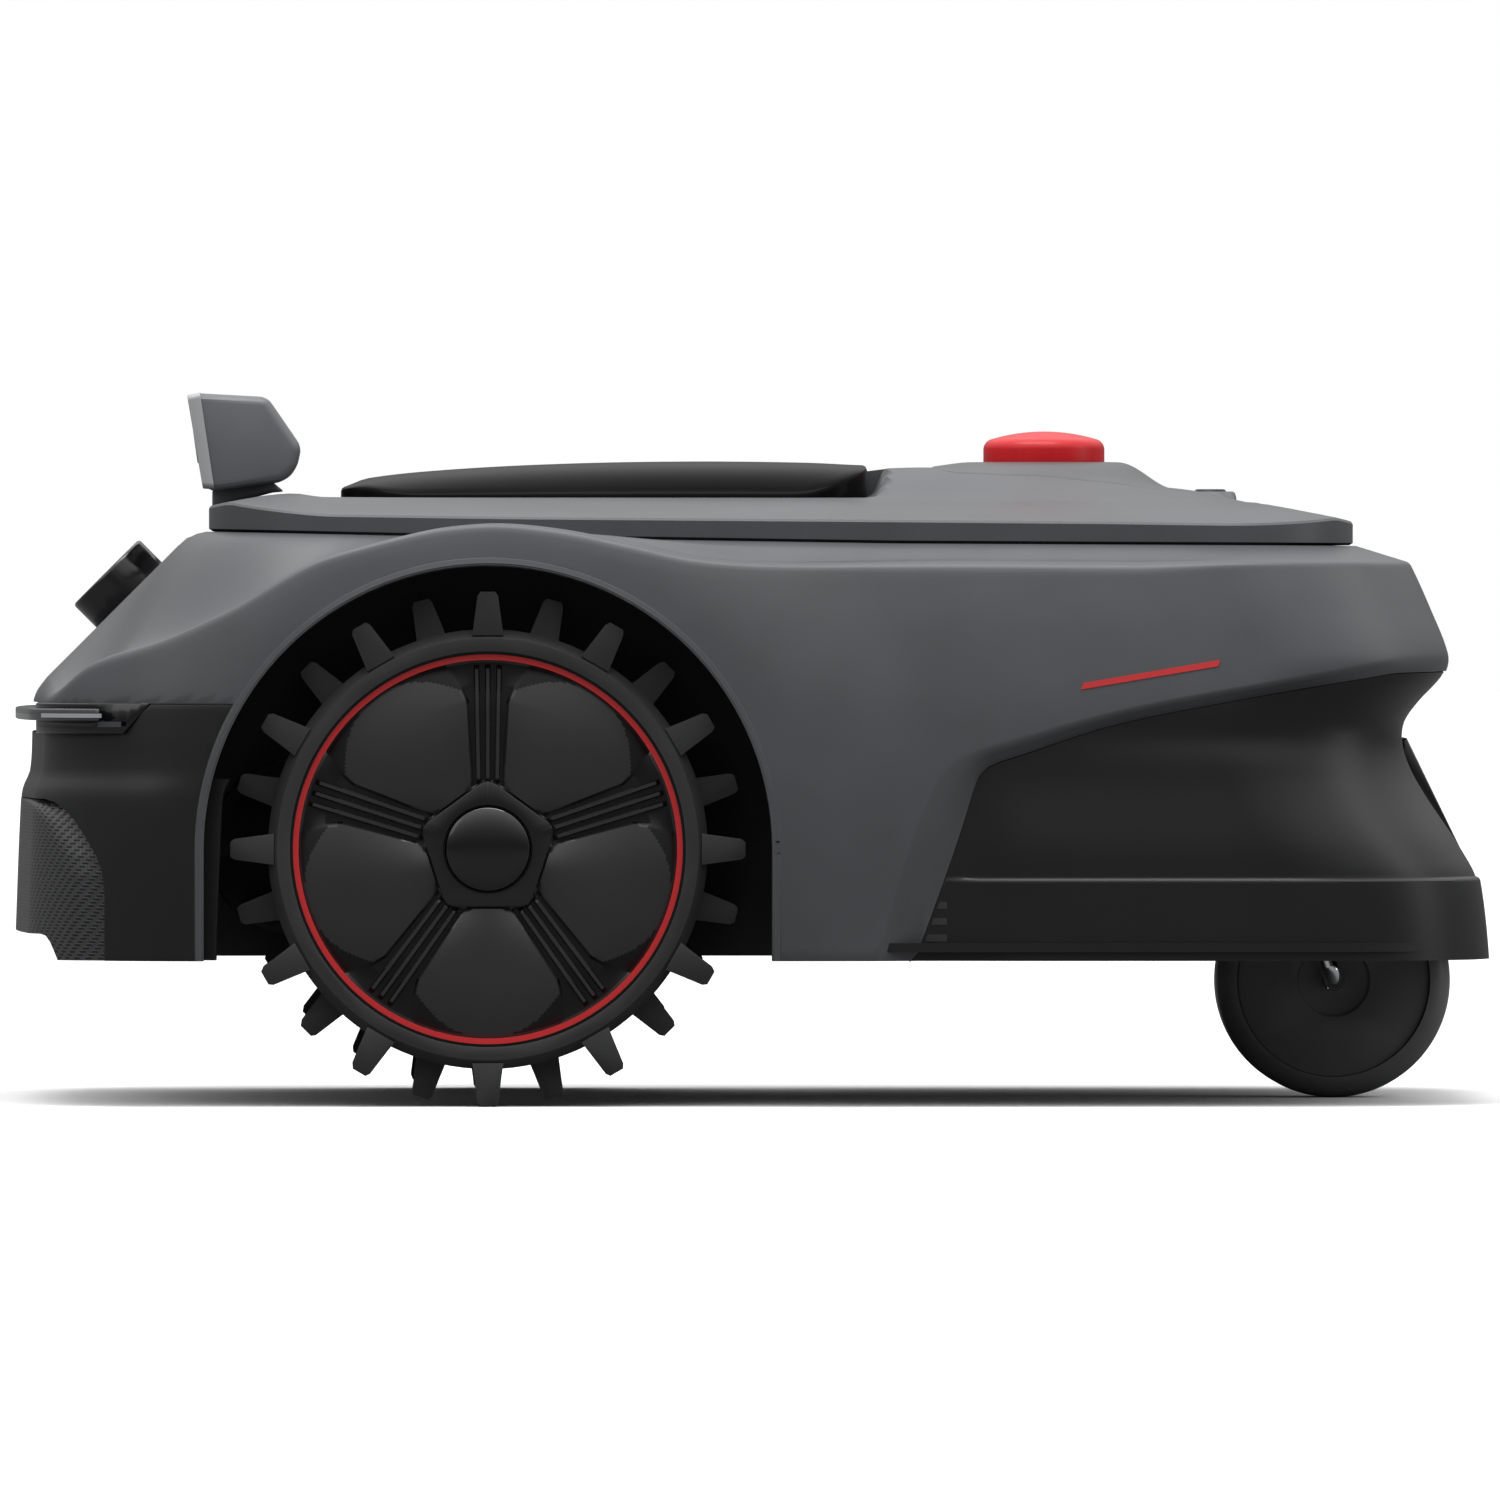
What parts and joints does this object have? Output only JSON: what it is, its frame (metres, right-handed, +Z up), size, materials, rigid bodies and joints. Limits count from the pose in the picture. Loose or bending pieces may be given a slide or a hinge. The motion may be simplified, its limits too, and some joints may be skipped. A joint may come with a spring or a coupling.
{
  "type": "robotic lawn mower",
  "caption": "Compact robotic lawn mower with lugged front drive wheels, rear caster, camera head, push bumper and height-adjustable swinging-blade deck.",
  "frame": {"origin": "on the ground, under the middle of the machine's overall box", "axes": "+X forward to the bumper, +Y to the machine's left, +Z up"},
  "size_m": [0.5, 0.37, 0.2406],
  "materials": {
    "shell_grey": "fine moulded grain, dark grey",
    "shell_black": "fine moulded grain, near black",
    "gloss_black": "polished black",
    "smoked": "smoked glossy cover",
    "bumper_weave": "woven relief, satin black",
    "bezel_grey": "light grey satin",
    "lens_glass": "coated glass",
    "clear_light": "clear light guide",
    "button_red": "satin red",
    "accent_red": "satin red",
    "tyre_black": "matt moulded tread",
    "rim_black": "satin black",
    "steel": "brushed",
    "chrome": "polished",
    "alloy": "cast",
    "seal_rubber": "matt",
    "inner_black": "moulded, unpainted",
    "board_green": "solder mask",
    "battery_wrap": "shrink wrap",
    "contact_metal": "plated contact strips"
  },
  "bodies": {
    "chassis": {"body_shell": "shell_grey", "front_shell": "shell_black", "rear_shell": "shell_black", "light_bar_housing": "gloss_black", "light_bar_lens": "clear_light", "top_panel": "shell_grey", "tinted_window": "smoked", "control_panel": "shell_grey", "camera_bezel": "bezel_grey", "camera_glass": "lens_glass", "camera_housing": "shell_grey", "camera_rear_cap": "shell_black", "camera_lenses": "gloss_black", "camera_neck": "shell_black", "sensor_pod": "gloss_black", "sensor_pod_lens": "lens_glass", "caster_bearing": "inner_black", "chassis_pan": "inner_black", "chassis_lid": "inner_black", "chassis_seal": "seal_rubber", "main_board": "board_green", "battery_pack": "battery_wrap", "body_mounts": "seal_rubber", "drive_motors": "steel", "axle_bearings": "steel", "left_gearbox": "inner_black", "right_gearbox": "inner_black", "left_gearbox_cover": "inner_black", "right_gearbox_cover": "inner_black", "deck_guide_rods": "steel", "deck_bridge": "alloy", "height_motor": "steel", "charging_plate": "gloss_black", "charging_contacts": "contact_metal", "underside_screws": "steel", "gearbox_cover_screws": "steel"},
    "left_wheel": {"left_tyre": "tyre_black", "left_rim": "rim_black", "left_accent_ring": "accent_red", "left_hub_cap": "gloss_black", "left_axle": "steel"},
    "right_wheel": {"right_tyre": "tyre_black", "right_rim": "rim_black", "right_accent_ring": "accent_red", "right_hub_cap": "gloss_black", "right_axle": "steel"},
    "caster_swivel": {"caster_fork": "chrome"},
    "caster_wheel": {"caster_tyre": "tyre_black", "caster_hub": "rim_black"},
    "cutting_deck": {"deck_motor": "alloy", "deck_carrier": "alloy"},
    "lift_screw": {"height_screw": "steel"},
    "blade_rotor": {"blade_disc": "inner_black", "blade_screws": "steel"},
    "blade_a": {"blade_1": "steel"},
    "blade_b": {"blade_2": "steel"},
    "blade_c": {"blade_3": "steel"},
    "stop_push": {"stop_button": "button_red"},
    "power_push": {"power_button": "shell_black"},
    "bumper": {"front_bumper": "bumper_weave"}
  },
  "joints": [
    {"name": "left_wheel_spin", "type": "hinge", "parent": "chassis", "child": "left_wheel", "pos_m": [0.0887, 0.15, 0.0864], "axis": [0, 1, 0], "continuous": true},
    {"name": "right_wheel_spin", "type": "hinge", "parent": "chassis", "child": "right_wheel", "pos_m": [0.0887, -0.15, 0.0864], "axis": [0, 1, 0], "continuous": true},
    {"name": "caster_swivel_turn", "type": "hinge", "parent": "chassis", "child": "caster_swivel", "pos_m": [-0.186, 0, 0.1], "axis": [0, 0, 1], "continuous": true},
    {"name": "caster_wheel_spin", "type": "hinge", "parent": "caster_swivel", "child": "caster_wheel", "pos_m": [-0.2006, 0, 0.04], "axis": [0, 1, 0], "continuous": true},
    {"name": "cut_height_slide", "type": "slide", "parent": "chassis", "child": "cutting_deck", "axis": [0, 0, 1], "range_m": [-0.04, 0]},
    {"name": "lift_screw_turn", "type": "hinge", "parent": "chassis", "child": "lift_screw", "pos_m": [0.0387, 0, 0.09], "axis": [0, 0, 1], "range_deg": [-1800, 0]},
    {"name": "blade_disc_spin", "type": "hinge", "parent": "cutting_deck", "child": "blade_rotor", "pos_m": [-0.0113, 0, 0.0575], "axis": [0, 0, 1], "continuous": true},
    {"name": "blade_a_swing", "type": "hinge", "parent": "blade_rotor", "child": "blade_a", "pos_m": [0.0607, 0, 0.0546], "axis": [0, 0, 1], "continuous": true},
    {"name": "blade_b_swing", "type": "hinge", "parent": "blade_rotor", "child": "blade_b", "pos_m": [-0.0473, 0.06235, 0.0546], "axis": [0, 0, 1], "continuous": true},
    {"name": "blade_c_swing", "type": "hinge", "parent": "blade_rotor", "child": "blade_c", "pos_m": [-0.0473, -0.06235, 0.0546], "axis": [0, 0, 1], "continuous": true},
    {"name": "stop_button_press", "type": "slide", "parent": "chassis", "child": "stop_push", "axis": [0, 0, -1], "range_m": [0, 0.003], "stiffness_N_per_m": 800, "springref_m": -0.002},
    {"name": "power_button_press", "type": "slide", "parent": "chassis", "child": "power_push", "axis": [0, 0, -1], "range_m": [0, 0.0015], "stiffness_N_per_m": 600, "springref_m": -0.001},
    {"name": "bumper_press", "type": "slide", "parent": "chassis", "child": "bumper", "axis": [-1, 0, 0], "range_m": [0, 0.003], "stiffness_N_per_m": 2500, "springref_m": -0.002}
  ],
  "couplings": [
    {"joint": "lift_screw_turn", "follows": "cut_height_slide", "rad_per_m": 785}
  ]
}
